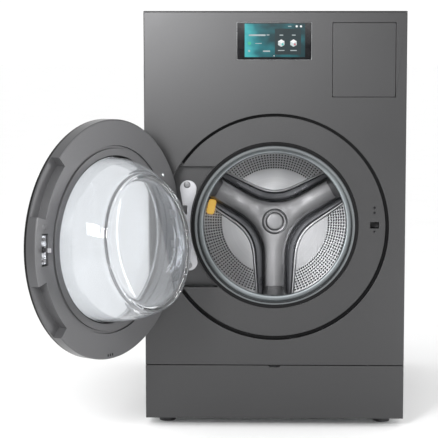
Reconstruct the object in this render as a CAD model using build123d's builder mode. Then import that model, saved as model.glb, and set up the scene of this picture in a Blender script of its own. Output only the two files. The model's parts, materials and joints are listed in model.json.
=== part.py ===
from build123d import *
import os
from math import cos, radians, sin

os.makedirs("parts", exist_ok=True)

# A front-loading washer and dryer in one cabinet, with its door standing open.
# Millimetres. X runs right as the user faces it, Y runs back, Z runs up from the floor.

# Cabinet
WIDTH = 686.0
DEPTH = 870.0
HEIGHT = 1100.0
FLOOR_GAP = 22.0
SHEET = 1.5
WRAP = 22.0
SEAM = 0.5
SERVICE_TOP = 164.6
FRONT_LOW = 166.6
FRONT_HIGH = 1096.5
HALF = WIDTH / 2
FRONT = -DEPTH / 2
REAR = DEPTH / 2
INSIDE = HALF - SHEET
WRAP_END = FRONT + WRAP
REAR_SKIN = 432.0
FEET = [(x, y) for x in (-290.0, 290.0) for y in (-360.0, 360.0)]
FOOT_R = 22.0
STUD_R = 5.0

# Round recess that the door closes into
DOOR_Z = 533.5
RECESS_R = 300.0
GROOVE_R = 292.0
GROOVE_DEPTH = 22.0
RING_DEPTH = 14.0
MOUTH_Z = 537.5
MOUTH_R = 221.0
POCKET_DEPTH = 45.0
POCKET_HALF = 161.0
LATCH_X = 263.0

# Door, hung on a vertical pin at its left edge
DOOR_R = 298.0
HINGE_X = -276.5
HINGE_Y = FRONT - 12.0
DOOR_OPEN = 121.5
DOOR_INNER = -24.0
DOOR_COVER = 9.0
DOOR_OUTER = 14.0
BOWL_R = 205.0
BOWL_END_R = 168.0
BOWL_END = -139.0
BOWL_TILT = 8.0
GLASS = 4.0
HINGE_PIN_R = 4.0
KNUCKLE_Z = 43.0
KNUCKLE_HALF = 12.0
RUNNING = 0.06

# Drum and tub, on an axis that falls towards the back
TILT = 5.7
AXIS_Z = 540.4
DRUM_R = 285.0
DRUM_MOUTH_R = 193.0
DRUM_FRONT = 125.0
DRUM_BACK = 700.0
DRUM_SHEET = 2.0
TUB_R = 297.0
TUB_WALL = 5.0
TUB_FRONT = 112.0
TUB_SPLIT = 190.0
TUB_BACK = 722.0
SHAFT_R = 17.5
ARM_ANGLE = 30.0
ARM_HALF = 34.0
ARM_BASE_HALF = 64.0
ARM_CORNER = 150.0
SPRING_X = 322.0
SPRING_YS = (-70.0, 160.0)
SPRING_TOP = 1034.0
SPRING_LOW = 812.0
DAMPER_X = 200.0
DAMPER_YS = (-210.0, 120.0)
ROD_R = 6.0

# Display and detergent drawer
SCREEN_X = (-99.0, 94.2)
SCREEN_Z = (974.0, 1070.0)
DRAWER_X = (149.8, 313.4)
DRAWER_Z = (877.4, 1069.3)
DECK_Z = 866.0

tilt_c = cos(radians(TILT))
tilt_s = sin(radians(TILT))
door_c = cos(radians(DOOR_OPEN))
door_s = sin(radians(DOOR_OPEN))

# FACE looks out of the cabinet at the recess centre; DRUM does the same on the tilted axis.
FACE = Plane(origin=(0, FRONT, DOOR_Z), x_dir=(1, 0, 0), z_dir=(0, -1, 0))
FACE_TURN = Plane(origin=(0, FRONT, DOOR_Z), x_dir=(1, 0, 0), z_dir=(0, 0, -1))
FACE_AXIS = Axis((0, FRONT, DOOR_Z), (0, -1, 0))
MOUTH = Plane(origin=(0, FRONT, MOUTH_Z), x_dir=(1, 0, 0), z_dir=(0, -1, 0))
DRUM = Plane(origin=(0, FRONT, AXIS_Z), x_dir=(1, 0, 0), z_dir=(0, -tilt_c, tilt_s))
DRUM_TURN = Plane(origin=(0, FRONT, AXIS_Z), x_dir=(1, 0, 0), z_dir=(0, -tilt_s, -tilt_c))
DRUM_AXIS = Axis((0, FRONT, AXIS_Z), (0, -tilt_c, tilt_s))
# DOOR is the door's own plane as it stands open: x towards the free edge, z out of its outer face.
DOOR_ORIGIN = (HINGE_X - HINGE_X * door_c, HINGE_Y + HINGE_X * door_s, DOOR_Z)
DOOR = Plane(origin=DOOR_ORIGIN, x_dir=(door_c, -door_s, 0), z_dir=(-door_s, -door_c, 0))
DOOR_TURN = Plane(origin=DOOR_ORIGIN, x_dir=(door_c, -door_s, 0), z_dir=(0, 0, -1))
DOOR_AXIS = Axis(DOOR_ORIGIN, (-door_s, -door_c, 0))


def block(x, y, z, mode=Mode.ADD):
    """A box between two limits on each axis."""
    with Locations(((x[0] + x[1]) / 2, (y[0] + y[1]) / 2, (z[0] + z[1]) / 2)):
        Box(x[1] - x[0], y[1] - y[0], z[1] - z[0], mode=mode)


def outline(plane, *points):
    """A flat face through the points of a plane."""
    with BuildSketch(plane) as drawn:
        with BuildLine():
            Polyline(*points, close=True)
        make_face()
    return drawn.sketch


def disc(plane, radius, length, at=(0, 0), mode=Mode.ADD):
    """A round bar standing on a plane, or its hole."""
    with BuildSketch(plane) as drawn:
        with Locations(at):
            Circle(radius)
    extrude(drawn.sketch, amount=length, mode=mode)


def tube(plane, outer, inner, length, at=(0, 0)):
    """A round tube standing on a plane."""
    with BuildSketch(plane) as drawn:
        with Locations(at):
            Circle(outer)
            Circle(inner, mode=Mode.SUBTRACT)
    extrude(drawn.sketch, amount=length)


def star(plane, half_width, reach, corner):
    """Three arms from the drum's centre, with rounded corners between them."""
    with BuildSketch(plane) as drawn:
        with PolarLocations(0, 3, start_angle=ARM_ANGLE):
            Rectangle(reach, 2 * half_width, align=(Align.MIN, Align.CENTER))
        inner = drawn.vertices().sort_by(lambda v: v.center().length)[:3]
        fillet(inner, radius=corner)
    return drawn.sketch


def at_depth(depth):
    """The plane across the drum's axis at a depth behind the front."""
    return DRUM.offset(-depth)


def pipe(radius, *points, bend=None):
    """A round pipe through the points, with its corners bent."""
    with BuildLine() as path:
        FilletPolyline(*points, radius=bend or 3 * radius)
    start = path.line @ 0
    with BuildSketch(Plane(origin=start, z_dir=path.line % 0)) as section:
        Circle(radius)
    sweep(section.sketch, path=path.line)


# ---------------------------------------------------------------- base and cabinet
PIN_Y = FRONT + 11.0
PIN_Z = 30.5

with BuildPart() as base_pan:
    block((-INSIDE, INSIDE), (-408, 428), (24, 62))
    block((-INSIDE + 2, INSIDE - 2), (-406, 426), (26, 63), mode=Mode.SUBTRACT)
    for foot in FEET:
        disc(Plane.XY.offset(24), 20, 14, at=foot)
        disc(Plane.XY.offset(20), STUD_R + 0.3, 20, at=foot, mode=Mode.SUBTRACT)
    for side in (-1, 1):
        block(sorted((side * 316, side * 321)), (PIN_Y - 6, -406), (24.5, 37))
        disc(Plane.YZ.offset(side * 318), HINGE_PIN_R, -side * 12, at=(PIN_Y, PIN_Z))
    for x in (-DAMPER_X, DAMPER_X):
        for y in DAMPER_YS:
            block((x - 20, x + 20), (y - 20, y + 20), (25, 46))

with BuildPart() as levelling_feet:
    for foot in FEET:
        disc(Plane.XY, FOOT_R, 12, at=foot)
        disc(Plane.XY.offset(12), STUD_R, 40, at=foot)


def side_panel():
    """The left side: a folded sheet with front and rear flanges."""
    with BuildPart() as panel:
        block((-HALF, -INSIDE), (WRAP_END + SEAM, REAR_SKIN), (24, FRONT_HIGH))
        block((-HALF, -INSIDE + 20), (WRAP_END + SEAM, WRAP_END + SEAM + SHEET), (62.5, FRONT_HIGH))
        block((-HALF, -INSIDE + 14), (REAR_SKIN - 3, REAR_SKIN - SHEET), (64, FRONT_HIGH))
        block((-HALF - 1, 0), (FRONT, WRAP_END + 5), (20, 37), mode=Mode.SUBTRACT)
        block((-HALF - 1, -INSIDE - 0.6), (-60, -58), (300, 900), mode=Mode.SUBTRACT)
        block((-HALF - 1, -INSIDE - 0.6), (58, 60), (300, 900), mode=Mode.SUBTRACT)
    return panel.part


with BuildPart() as left_side_panel:
    add(side_panel())

with BuildPart() as right_side_panel:
    mirror(side_panel(), about=Plane.YZ)

VALVES = [(-255.0, 1010.0), (-195.0, 1010.0)]
DRAIN_OUT = (-285.0, 915.0)
POWER_IN = (285.0, 1020.0)
TRANSIT_X = 170.0
TRANSIT_Z = (330.0, 640.0)
COVER_Z = 462.0
BACK = Plane(origin=(0, REAR_SKIN, 0), x_dir=(1, 0, 0), z_dir=(0, -1, 0))

with BuildPart() as rear_panel:
    block((-INSIDE + 1, INSIDE - 1), (REAR_SKIN - SHEET, REAR_SKIN), (64, 1080))
    disc(BACK.offset(-5), 150, 12, at=(0, COVER_Z), mode=Mode.SUBTRACT)
    for x in (-TRANSIT_X, TRANSIT_X):
        for z in TRANSIT_Z:
            disc(BACK.offset(-5), 9, 12, at=(x, z), mode=Mode.SUBTRACT)
    for valve in VALVES:
        disc(BACK.offset(-5), 16, 12, at=valve, mode=Mode.SUBTRACT)
    disc(BACK.offset(-5), 15, 12, at=DRAIN_OUT, mode=Mode.SUBTRACT)
    disc(BACK.offset(-5), 11, 12, at=POWER_IN, mode=Mode.SUBTRACT)
    for row in range(8):
        low = 890 + 16 * row
        block((40, 180), (REAR_SKIN - 4, REAR_SKIN + 4), (low, low + 5), mode=Mode.SUBTRACT)

with BuildPart() as top_panel:
    block((-HALF, HALF), (FRONT, REAR), (FRONT_HIGH + SEAM, HEIGHT))
    fillet(top_panel.edges().group_by(Axis.Z)[-1], radius=2)
    block((-334, 334), (-400, 424), (FRONT_HIGH - 16, FRONT_HIGH + SEAM))
    block((-332, 332), (-398, 422), (FRONT_HIGH - 17, FRONT_HIGH + SEAM), mode=Mode.SUBTRACT)

with BuildPart() as spring_rails:
    for side in (-1, 1):
        block(sorted((side * 310, side * INSIDE)), (-90, 425), (1040, 1042.5))
        block(sorted((side * (INSIDE - 2.5), side * INSIDE)), (-90, 425), (1000, 1042.5))
        for y in SPRING_YS:
            disc(Plane.XY.offset(SPRING_TOP), 4, 8, at=(side * SPRING_X, y))

# ---------------------------------------------------------------- front panels
with BuildPart() as front_panel:
    block((-HALF, HALF), (FRONT, WRAP_END), (FRONT_LOW, FRONT_HIGH))
    corners = front_panel.edges().filter_by(Axis.Z).group_by(Axis.Y)[0]
    fillet(corners, radius=3)
    block((-INSIDE, INSIDE), (FRONT + SHEET, REAR), (FRONT_LOW + SHEET, FRONT_HIGH - SHEET), mode=Mode.SUBTRACT)
    disc(FACE.offset(1), RECESS_R, -5, mode=Mode.SUBTRACT)
    wall = RECESS_R + SHEET
    dish = outline(
        FACE_TURN,
        (wall + 2, 0),
        (RECESS_R, 0),
        (RECESS_R, -GROOVE_DEPTH),
        (GROOVE_R, -GROOVE_DEPTH),
        (GROOVE_R, -RING_DEPTH),
        (205, -RING_DEPTH),
        (205, -RING_DEPTH - SHEET),
        (GROOVE_R - SHEET, -RING_DEPTH - SHEET),
        (GROOVE_R - SHEET, -GROOVE_DEPTH - SHEET),
        (wall, -GROOVE_DEPTH - SHEET),
        (wall, -SHEET),
        (wall + 2, -SHEET),
    )
    revolve(dish, axis=FACE_AXIS)
    disc(MOUTH.offset(1), MOUTH_R, -30, mode=Mode.SUBTRACT)
    tube(MOUTH.offset(-RING_DEPTH), MOUTH_R + SHEET, MOUTH_R, -10)
    # hinge pocket, a sunken tray at the left of the mouth
    for grow, top, length, mode in (
        (SHEET, -RING_DEPTH, RING_DEPTH - POCKET_DEPTH - SHEET, Mode.ADD),
        (0.0, 1.0, -POCKET_DEPTH - 1, Mode.SUBTRACT),
    ):
        with BuildSketch(FACE.offset(top)) as pocket:
            Circle(RECESS_R + grow)
            with Locations((-HALF, 0)):
                Rectangle(2 * HALF, 2 * (POCKET_HALF + grow), mode=Mode.INTERSECT)
            with Locations((0, MOUTH_Z - DOOR_Z)):
                Circle(MOUTH_R + SHEET - grow, mode=Mode.SUBTRACT)
        extrude(pocket.sketch, amount=length, mode=mode)
    block((SCREEN_X[0] - 1.2, SCREEN_X[1] + 1.2), (FRONT - 1, FRONT + 3), (SCREEN_Z[0] - 1.2, SCREEN_Z[1] + 1.2),
          mode=Mode.SUBTRACT)
    block((DRAWER_X[0] - 2.3, DRAWER_X[1] + 2.3), (FRONT + 1, WRAP_END), (DRAWER_Z[0] - 2.3, DRAWER_Z[1] + 2.3))
    block((DRAWER_X[0] - 0.8, DRAWER_X[1] + 0.8), (FRONT - 1, WRAP_END + 1), (DRAWER_Z[0] - 0.8, DRAWER_Z[1] + 0.8),
          mode=Mode.SUBTRACT)
    block((251.5, 274.5), (FRONT, FRONT + 20), (530.5, 547.5), mode=Mode.SUBTRACT)
    for z, radius in ((585.5, 4.6), (572.0, 4.2), (522.0, 3.6)):
        disc(FACE, radius, -20, at=(LATCH_X, z - DOOR_Z), mode=Mode.SUBTRACT)

with BuildPart() as service_panel:
    block((-HALF, HALF), (FRONT, WRAP_END), (FLOOR_GAP, SERVICE_TOP))
    corners = service_panel.edges().filter_by(Axis.Z).group_by(Axis.Y)[0]
    fillet(corners, radius=3)
    block((-INSIDE, INSIDE), (FRONT + SHEET, REAR), (0, SERVICE_TOP - SHEET), mode=Mode.SUBTRACT)
    block((-14, 14), (FRONT - 1, FRONT + 14), (SERVICE_TOP - 4.6, SERVICE_TOP + 1), mode=Mode.SUBTRACT)
    for side in (-1, 1):
        block(sorted((side * 309, side * 313)), (FRONT + SHEET, PIN_Y + 7), (24.5, 42))
        disc(Plane.YZ.offset(side * 311 - 4), HINGE_PIN_R + RUNNING, 8, at=(PIN_Y, PIN_Z), mode=Mode.SUBTRACT)

# ---------------------------------------------------------------- display
with BuildPart() as display_bezel:
    block((SCREEN_X[0] - 1, SCREEN_X[1] + 1), (FRONT - 0.4, FRONT + 3), (SCREEN_Z[0] - 1, SCREEN_Z[1] + 1))
    block(SCREEN_X, (FRONT - 1, FRONT + 4), SCREEN_Z, mode=Mode.SUBTRACT)

with BuildPart() as display_glass:
    block((SCREEN_X[0] + 0.1, SCREEN_X[1] - 0.1), (FRONT - 0.6, FRONT + 3), (SCREEN_Z[0] + 0.1, SCREEN_Z[1] - 0.1))
    fillet(display_glass.edges().filter_by(Axis.Y), radius=3)

with BuildPart() as display_housing:
    block((SCREEN_X[0] - 8, SCREEN_X[1] + 8), (FRONT + 3, FRONT + 30), (SCREEN_Z[0] - 8, SCREEN_Z[1] + 8))
    block((SCREEN_X[0] + 2, SCREEN_X[1] - 2), (FRONT + 2, FRONT + 27), (SCREEN_Z[0] + 2, SCREEN_Z[1] - 2),
          mode=Mode.SUBTRACT)

# ---------------------------------------------------------------- detergent drawer
TRAY_X = (DRAWER_X[0] + 2.5, DRAWER_X[1] - 2.5)
TRAY_Z = (DRAWER_Z[0] + 5, DRAWER_Z[1] - 12)
TRAY_BACK = -112.0

with BuildPart() as drawer_front:
    block(DRAWER_X, (FRONT, FRONT + 20), DRAWER_Z)
    fillet(drawer_front.edges().filter_by(Axis.Y), radius=4)
    fillet(drawer_front.edges().group_by(Axis.Y)[0], radius=1)

with BuildPart() as drawer_tray:
    block(TRAY_X, (FRONT + 20, TRAY_BACK), TRAY_Z)
    for x in ((TRAY_X[0] + 2.5, 208.5), (211.5, TRAY_X[1] - 2.5)):
        block(x, (FRONT + 24, -285), (TRAY_Z[0] + 3, HEIGHT), mode=Mode.SUBTRACT)
        block(x, (-282, TRAY_BACK - 3), (TRAY_Z[0] + 3, HEIGHT), mode=Mode.SUBTRACT)

with BuildPart() as tank_covers:
    for x in ((TRAY_X[0] + 1, 208.5), (211.5, TRAY_X[1] - 1)):
        block(x, (-283.5, TRAY_BACK - 1), (TRAY_Z[1], TRAY_Z[1] + 3))
        block((x[0] + 12, x[1] - 12), (-240, -200), (TRAY_Z[1] + 3, TRAY_Z[1] + 6))

with BuildPart() as dispenser_housing:
    block((DRAWER_X[0] - 2, DRAWER_X[1] + 2), (WRAP_END + 2.5, -98), (DRAWER_Z[0] - 2, DRAWER_Z[1] + 2.5))
    block((DRAWER_X[0] + 0.5, DRAWER_X[1] - 0.5), (WRAP_END, -101), (DRAWER_Z[0] + 1, DRAWER_Z[1] - 0.5),
          mode=Mode.SUBTRACT)
    block((200, 250), (-420, -200), (DRAWER_Z[1] - 2, DRAWER_Z[1] + 4), mode=Mode.SUBTRACT)
    tube(Plane.XY.offset(DRAWER_Z[0] - 2), 16, 13, -14, at=(180, -130))

# ---------------------------------------------------------------- tub
with BuildPart() as tub_front:
    shell = outline(
        DRUM_TURN,
        (210, -TUB_FRONT + 12),
        (216, -TUB_FRONT + 12),
        (216, -TUB_FRONT),
        (TUB_R + TUB_WALL, -TUB_FRONT - 8),
        (TUB_R + TUB_WALL, -TUB_SPLIT + 6),
        (TUB_R + 12, -TUB_SPLIT + 6),
        (TUB_R + 12, -TUB_SPLIT),
        (TUB_R, -TUB_SPLIT),
        (TUB_R, -TUB_FRONT - 13),
        (210, -TUB_FRONT - 5),
    )
    revolve(shell, axis=DRUM_AXIS)

with BuildPart() as tub_rear:
    shell = outline(
        DRUM_TURN,
        (TUB_R, -TUB_SPLIT),
        (TUB_R + 12, -TUB_SPLIT),
        (TUB_R + 12, -TUB_SPLIT - 6),
        (TUB_R + TUB_WALL, -TUB_SPLIT - 6),
        (TUB_R + TUB_WALL, -TUB_BACK - 8),
        (58, -TUB_BACK - 8),
        (58, -TUB_BACK - 62),
        (36, -TUB_BACK - 62),
        (36, -TUB_BACK - 6),
        (40, -TUB_BACK - 6),
        (40, -TUB_BACK),
        (TUB_R, -TUB_BACK),
    )
    revolve(shell, axis=DRUM_AXIS)
    for rib in range(4):
        tube(at_depth(280 + 110 * rib), TUB_R + TUB_WALL + 5, TUB_R + 2, -6)
    with BuildSketch(at_depth(TUB_BACK + 8)) as rib_sketch:
        with PolarLocations(214, 12):
            Rectangle(150, 5)
    extrude(rib_sketch.sketch, amount=-14)
    for side in (-1, 1):
        for y in SPRING_YS:
            block(sorted((side * 150, side * (SPRING_X + 10))), (y - 9, y + 9), (SPRING_LOW - 18, SPRING_LOW - 12))
            block(sorted((side * 150, side * 165)), (y - 9, y + 9), (730, SPRING_LOW - 12))
            disc(Plane.XY.offset(SPRING_LOW - 14), 4, 14, at=(side * SPRING_X, y))
        for y in DAMPER_YS:
            block((side * DAMPER_X - 14, side * DAMPER_X + 14), (y - 14, y + 14), (232, 300))
    disc(DRUM, TUB_R + 1, -TUB_BACK, mode=Mode.SUBTRACT)
    tube(at_depth(TUB_SPLIT), TUB_R + 3, TUB_R, TUB_SPLIT - TUB_BACK)

with BuildPart() as front_counterweights:
    for turn in (90, 270):
        with BuildSketch(at_depth(TUB_FRONT - 4)) as weight:
            Circle(292)
            Circle(240, mode=Mode.SUBTRACT)
            with BuildLine():
                reach = 330
                spread = radians(58)
                left = radians(turn) - spread
                right = radians(turn) + spread
                Polyline(
                    (0, 0),
                    (reach * cos(left), reach * sin(left)),
                    (reach * cos(radians(turn)) * 1.4, reach * sin(radians(turn)) * 1.4),
                    (reach * cos(right), reach * sin(right)),
                    close=True,
                )
            make_face(mode=Mode.INTERSECT)
        extrude(weight.sketch, amount=34)

with BuildPart() as drum_bearings:
    tube(at_depth(TUB_BACK + 8), 36, SHAFT_R + 0.05, -20)
    tube(at_depth(TUB_BACK + 40), 36, SHAFT_R + 0.05, -20)

with BuildPart() as motor_stator:
    tube(at_depth(TUB_BACK + 28), 84, 60, -26)
    with BuildSketch(at_depth(TUB_BACK + 30)) as teeth:
        with PolarLocations(98, 18):
            Rectangle(32, 14)
        with PolarLocations(115, 18):
            Rectangle(6, 30)
    extrude(teeth.sketch, amount=-22)

with BuildPart() as damper_rods:
    for x in (-DAMPER_X, DAMPER_X):
        for y in DAMPER_YS:
            disc(Plane.XY.offset(232), ROD_R, -142, at=(x, y))

with BuildPart() as damper_tubes:
    for x in (-DAMPER_X, DAMPER_X):
        for y in DAMPER_YS:
            tube(Plane.XY.offset(46), 15, ROD_R + 0.08, 132, at=(x, y))
            tube(Plane.XY.offset(178), 18, ROD_R + 0.08, 8, at=(x, y))

COIL = 8.0
coils = int((SPRING_TOP - SPRING_LOW) / COIL)

with BuildPart() as suspension_springs:
    for x in (-SPRING_X, SPRING_X):
        for y in SPRING_YS:
            side = Plane(origin=(x, y, SPRING_LOW), x_dir=(1, 0, 0), z_dir=(0, -1, 0))
            with BuildSketch(side) as wire:
                with BuildLine():
                    Polyline((5, 0), (7, 0))
                    for turn in range(coils):
                        low = turn * (SPRING_TOP - SPRING_LOW) / coils
                        high = (turn + 1) * (SPRING_TOP - SPRING_LOW) / coils
                        ThreePointArc((7, low), (10.5, (low + high) / 2), (7, high))
                    Polyline((7, SPRING_TOP - SPRING_LOW), (5, SPRING_TOP - SPRING_LOW), (5, 0))
                make_face()
            revolve(wire.sketch, axis=Axis((x, y, 0), (0, 0, 1)))

# ---------------------------------------------------------------- drum
with BuildPart() as drum_shell:
    shell = outline(
        DRUM_TURN,
        (DRUM_MOUTH_R, -DRUM_FRONT - 8),
        (DRUM_MOUTH_R, -DRUM_FRONT - 2),
        (DRUM_MOUTH_R + 3, -DRUM_FRONT),
        (206, -DRUM_FRONT),
        (270, -DRUM_FRONT - 10),
        (DRUM_R, -DRUM_FRONT - 24),
        (DRUM_R, -DRUM_BACK - 2),
        (DRUM_R - DRUM_SHEET, -DRUM_BACK - 2),
        (DRUM_R - DRUM_SHEET, -DRUM_FRONT - 25),
        (269, -DRUM_FRONT - 12),
        (206, -DRUM_FRONT - 2),
        (DRUM_MOUTH_R + 4, -DRUM_FRONT - 2),
        (DRUM_MOUTH_R + 2, -DRUM_FRONT - 4),
        (DRUM_MOUTH_R + 2, -DRUM_FRONT - 8),
    )
    revolve(shell, axis=DRUM_AXIS)

BACK_R = DRUM_R - DRUM_SHEET

with BuildPart() as drum_back:
    disc(at_depth(DRUM_BACK), BACK_R, -2)
    extrude(star(at_depth(DRUM_BACK), ARM_BASE_HALF, 262, ARM_CORNER), amount=5)
    disc(at_depth(DRUM_BACK - 20), SHAFT_R, -60, mode=Mode.SUBTRACT)

with BuildPart() as drum_arm_cover:
    extrude(star(at_depth(DRUM_BACK - 5), ARM_HALF, 262, ARM_CORNER), amount=14)
    disc(at_depth(DRUM_BACK - 19), 39, 3)
    disc(at_depth(DRUM_BACK - 30), 29, -40, mode=Mode.SUBTRACT)

with BuildPart() as hub_cap:
    disc(at_depth(DRUM_BACK - 5), 28.8, 20)
    fillet(hub_cap.edges().filter_by(GeomType.CIRCLE).sort_by(Axis.Y)[0], radius=3)

with BuildPart() as arm_lock_tab:
    with BuildSketch(at_depth(DRUM_BACK)) as tab:
        with PolarLocations(199, 1, start_angle=167):
            RectangleRounded(23, 46, 8)
    extrude(tab.sketch, amount=22)
    extrude(star(at_depth(DRUM_BACK), ARM_BASE_HALF, 262, ARM_CORNER), amount=5, mode=Mode.SUBTRACT)
    extrude(star(at_depth(DRUM_BACK), ARM_HALF, 262, ARM_CORNER), amount=19, mode=Mode.SUBTRACT)

LIFTER_IN = 196.0
LIFTER_FRONT = 190.0
LIFTER_BACK = DRUM_BACK - 24.0

with BuildPart() as drum_lifters:
    with BuildSketch(at_depth(LIFTER_FRONT)) as ridge:
        with PolarLocations(0, 3, start_angle=ARM_ANGLE):
            Polygon(
                (276, -52),
                (276, 52),
                (LIFTER_IN + 14, 34),
                (LIFTER_IN, 24),
                (LIFTER_IN, -24),
                (LIFTER_IN + 14, -34),
                align=None,
            )
    extrude(ridge.sketch, amount=LIFTER_FRONT - LIFTER_BACK)

with BuildPart() as drum_spider:
    with BuildSketch(at_depth(DRUM_BACK + 2)) as arms:
        with PolarLocations(0, 3, start_angle=ARM_ANGLE):
            Rectangle(276, 52, align=(Align.MIN, Align.CENTER))
        Circle(70)
    extrude(arms.sketch, amount=-12)
    disc(at_depth(DRUM_BACK - 5), SHAFT_R, -DRUM_BACK + 598)

with BuildPart() as motor_rotor:
    with BuildSketch(at_depth(TUB_BACK + 72)) as cup:
        Circle(128)
        Circle(SHAFT_R, mode=Mode.SUBTRACT)
        with PolarLocations(78, 6):
            Circle(20, mode=Mode.SUBTRACT)
    extrude(cup.sketch, amount=-4)
    tube(at_depth(TUB_BACK + 76), 128, 122, 52)

# ---------------------------------------------------------------- door gasket
GASKET_LIP_R = 205.0
LIP_BACK = 40.2
GASKET_FLARE = 52.0

with BuildPart() as gasket_trim_ring:
    ring = outline(
        Plane(origin=(0, FRONT, MOUTH_Z), x_dir=(1, 0, 0), z_dir=(0, 0, -1)),
        (212, -RING_DEPTH - 1),
        (MOUTH_R - 0.2, -RING_DEPTH - 1),
        (MOUTH_R - 0.2, -RING_DEPTH - 10),
        (212, -RING_DEPTH - 10),
    )
    revolve(ring, axis=Axis((0, FRONT, MOUTH_Z), (0, -1, 0)))

with BuildPart() as door_gasket:
    tube(MOUTH.offset(-RING_DEPTH - 2), 211.8, GASKET_LIP_R, -24)
    tube(MOUTH.offset(-RING_DEPTH - 10.2), 220.6, 208, -16)
    tube(MOUTH.offset(-LIP_BACK), 220.4, 215.4, LIP_BACK - GASKET_FLARE)
    for grow, mode in ((0, Mode.ADD), (-5, Mode.SUBTRACT)):
        with BuildSketch(MOUTH.offset(-GASKET_FLARE)) as front_edge:
            Circle(220.4 + grow)
        with BuildSketch(at_depth(TUB_FRONT - 4 - grow / 10)) as rear_edge:
            Circle(232 + grow)
        loft([front_edge.sketch.face(), rear_edge.sketch.face()], mode=mode)
    tube(at_depth(TUB_FRONT - 10), 232, 216.2, -6)

# ---------------------------------------------------------------- hinge and lock on the cabinet
with BuildPart() as hinge_bracket:
    with BuildSketch(FACE.offset(-POCKET_DEPTH)) as plate:
        with BuildLine():
            Polyline((-252, 99), (-244, 52), (-244, -52), (-250, -98), (-206, -98), (-214, -40), (-214, 50),
                     (-208, 99), close=True)
        make_face()
        with Locations((-230, 99), (-228, -98)):
            Circle(22)
        with Locations((0, MOUTH_Z - DOOR_Z)):
            Circle(MOUTH_R + SHEET + 2.5, mode=Mode.SUBTRACT)
    extrude(plate.sketch, amount=4)
    for middle in (-KNUCKLE_Z, KNUCKLE_Z):
        low = Plane.XY.offset(DOOR_Z + middle - KNUCKLE_HALF)
        strap = outline(low, (HINGE_X + 3, HINGE_Y - 2), (-232, FRONT + 42), (-228.5, FRONT + 44),
                        (-243.5, FRONT + 44), (-244, FRONT + 42), (HINGE_X - 3, HINGE_Y + 4))
        extrude(strap, amount=2 * KNUCKLE_HALF)
        disc(low, 8.2, 2 * KNUCKLE_HALF, at=(HINGE_X, HINGE_Y))
        disc(low.offset(-1), HINGE_PIN_R + RUNNING, 2 * KNUCKLE_HALF + 2, at=(HINGE_X, HINGE_Y), mode=Mode.SUBTRACT)

REAR_SCREWS = [(x, z) for x in (-334.0, 334.0) for z in (110.0, 360.0, 610.0, 860.0, 1060.0)]

with BuildPart() as cabinet_screws:
    for screw in REAR_SCREWS:
        disc(BACK, 4, -2.4, at=screw)
    for screw in ((-233, 109.5), (-229, -106)):
        disc(FACE.offset(-POCKET_DEPTH + 4), 9, 3, at=screw)

with BuildPart() as door_lock:
    block((244, 280), (FRONT + RING_DEPTH + SHEET, FRONT + 52), (508, 600))
    block((251, 275), (FRONT, FRONT + 46), (530, 548), mode=Mode.SUBTRACT)

# ---------------------------------------------------------------- door
GRIP_IN = 268.0
GRIP_FROM = 16.0
GRIP_TO = 46.5
NOTCH_HALF = KNUCKLE_HALF + 1.5

with BuildPart() as door_inner_frame:
    body = outline(
        DOOR_TURN,
        (209, DOOR_INNER),
        (226, DOOR_INNER),
        (227, DOOR_INNER + 5),
        (233, DOOR_INNER + 5),
        (234, DOOR_INNER),
        (DOOR_R - 3, DOOR_INNER),
        (DOOR_R, DOOR_INNER + 3),
        (DOOR_R, DOOR_COVER),
        (226, DOOR_COVER),
        (226, DOOR_INNER + 14),
        (209, DOOR_INNER + 14),
    )
    revolve(body, axis=DOOR_AXIS)
    for low in (GRIP_FROM, -GRIP_TO):
        with BuildSketch(DOOR.offset(DOOR_INNER - 1)) as grip:
            with BuildLine():
                high = low + GRIP_TO - GRIP_FROM
                CenterArc((0, 0), GRIP_IN, low, high - low)
                CenterArc((0, 0), DOOR_R + 2, low, high - low)
                for edge in (low, high):
                    c, s = cos(radians(edge)), sin(radians(edge))
                    Line((GRIP_IN * c, GRIP_IN * s), ((DOOR_R + 2) * c, (DOOR_R + 2) * s))
            make_face()
        extrude(grip.sketch, amount=25, mode=Mode.SUBTRACT)
    # flat bevel beside the hinge
    bevel = outline(Plane(origin=DOOR_ORIGIN, x_dir=DOOR.x_dir, z_dir=(0, 0, -1)),
                    (-262, DOOR_INNER - 1), (-310, DOOR_INNER - 1), (-310, DOOR_INNER + 11), (-298, DOOR_INNER + 11))
    extrude(bevel, amount=200, both=True, mode=Mode.SUBTRACT)
    for middle in (-KNUCKLE_Z, KNUCKLE_Z):
        with BuildSketch(DOOR.offset(DOOR_INNER - 2)) as notch:
            with Locations((HINGE_X - 1, middle)):
                Rectangle(50, 2 * NOTCH_HALF)
        extrude(notch.sketch, amount=DOOR_COVER - DOOR_INNER + 2, mode=Mode.SUBTRACT)
    disc(Plane.XY.offset(DOOR_Z - 74), HINGE_PIN_R, 148, at=(HINGE_X, HINGE_Y), mode=Mode.SUBTRACT)
    with BuildSketch(DOOR.offset(DOOR_INNER - 1)) as latch_hole:
        with Locations((LATCH_X - 1, 3)):
            Rectangle(24, 76)
    extrude(latch_hole.sketch, amount=19, mode=Mode.SUBTRACT)

with BuildPart() as door_hinge_pin:
    disc(Plane.XY.offset(DOOR_Z - 74), HINGE_PIN_R, 148, at=(HINGE_X, HINGE_Y))

with BuildPart() as door_outer_trim:
    trim = outline(DOOR_TURN, (242, DOOR_COVER), (DOOR_R, DOOR_COVER), (DOOR_R, DOOR_OUTER - 4),
                   (DOOR_R - 4, DOOR_OUTER), (242, DOOR_OUTER))
    revolve(trim, axis=DOOR_AXIS)

with BuildPart() as door_window:
    disc(DOOR.offset(DOOR_COVER), 241.8, 4.5)
    fillet(door_window.edges().filter_by(GeomType.CIRCLE).sort_by(Axis.X)[0], radius=2)

BOWL_STEPS = [(BOWL_R, -10.0, 0.0), (201.5, -55.0, 0.3), (189.0, -100.0, 0.65), (BOWL_END_R, BOWL_END, 1.0)]


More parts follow.
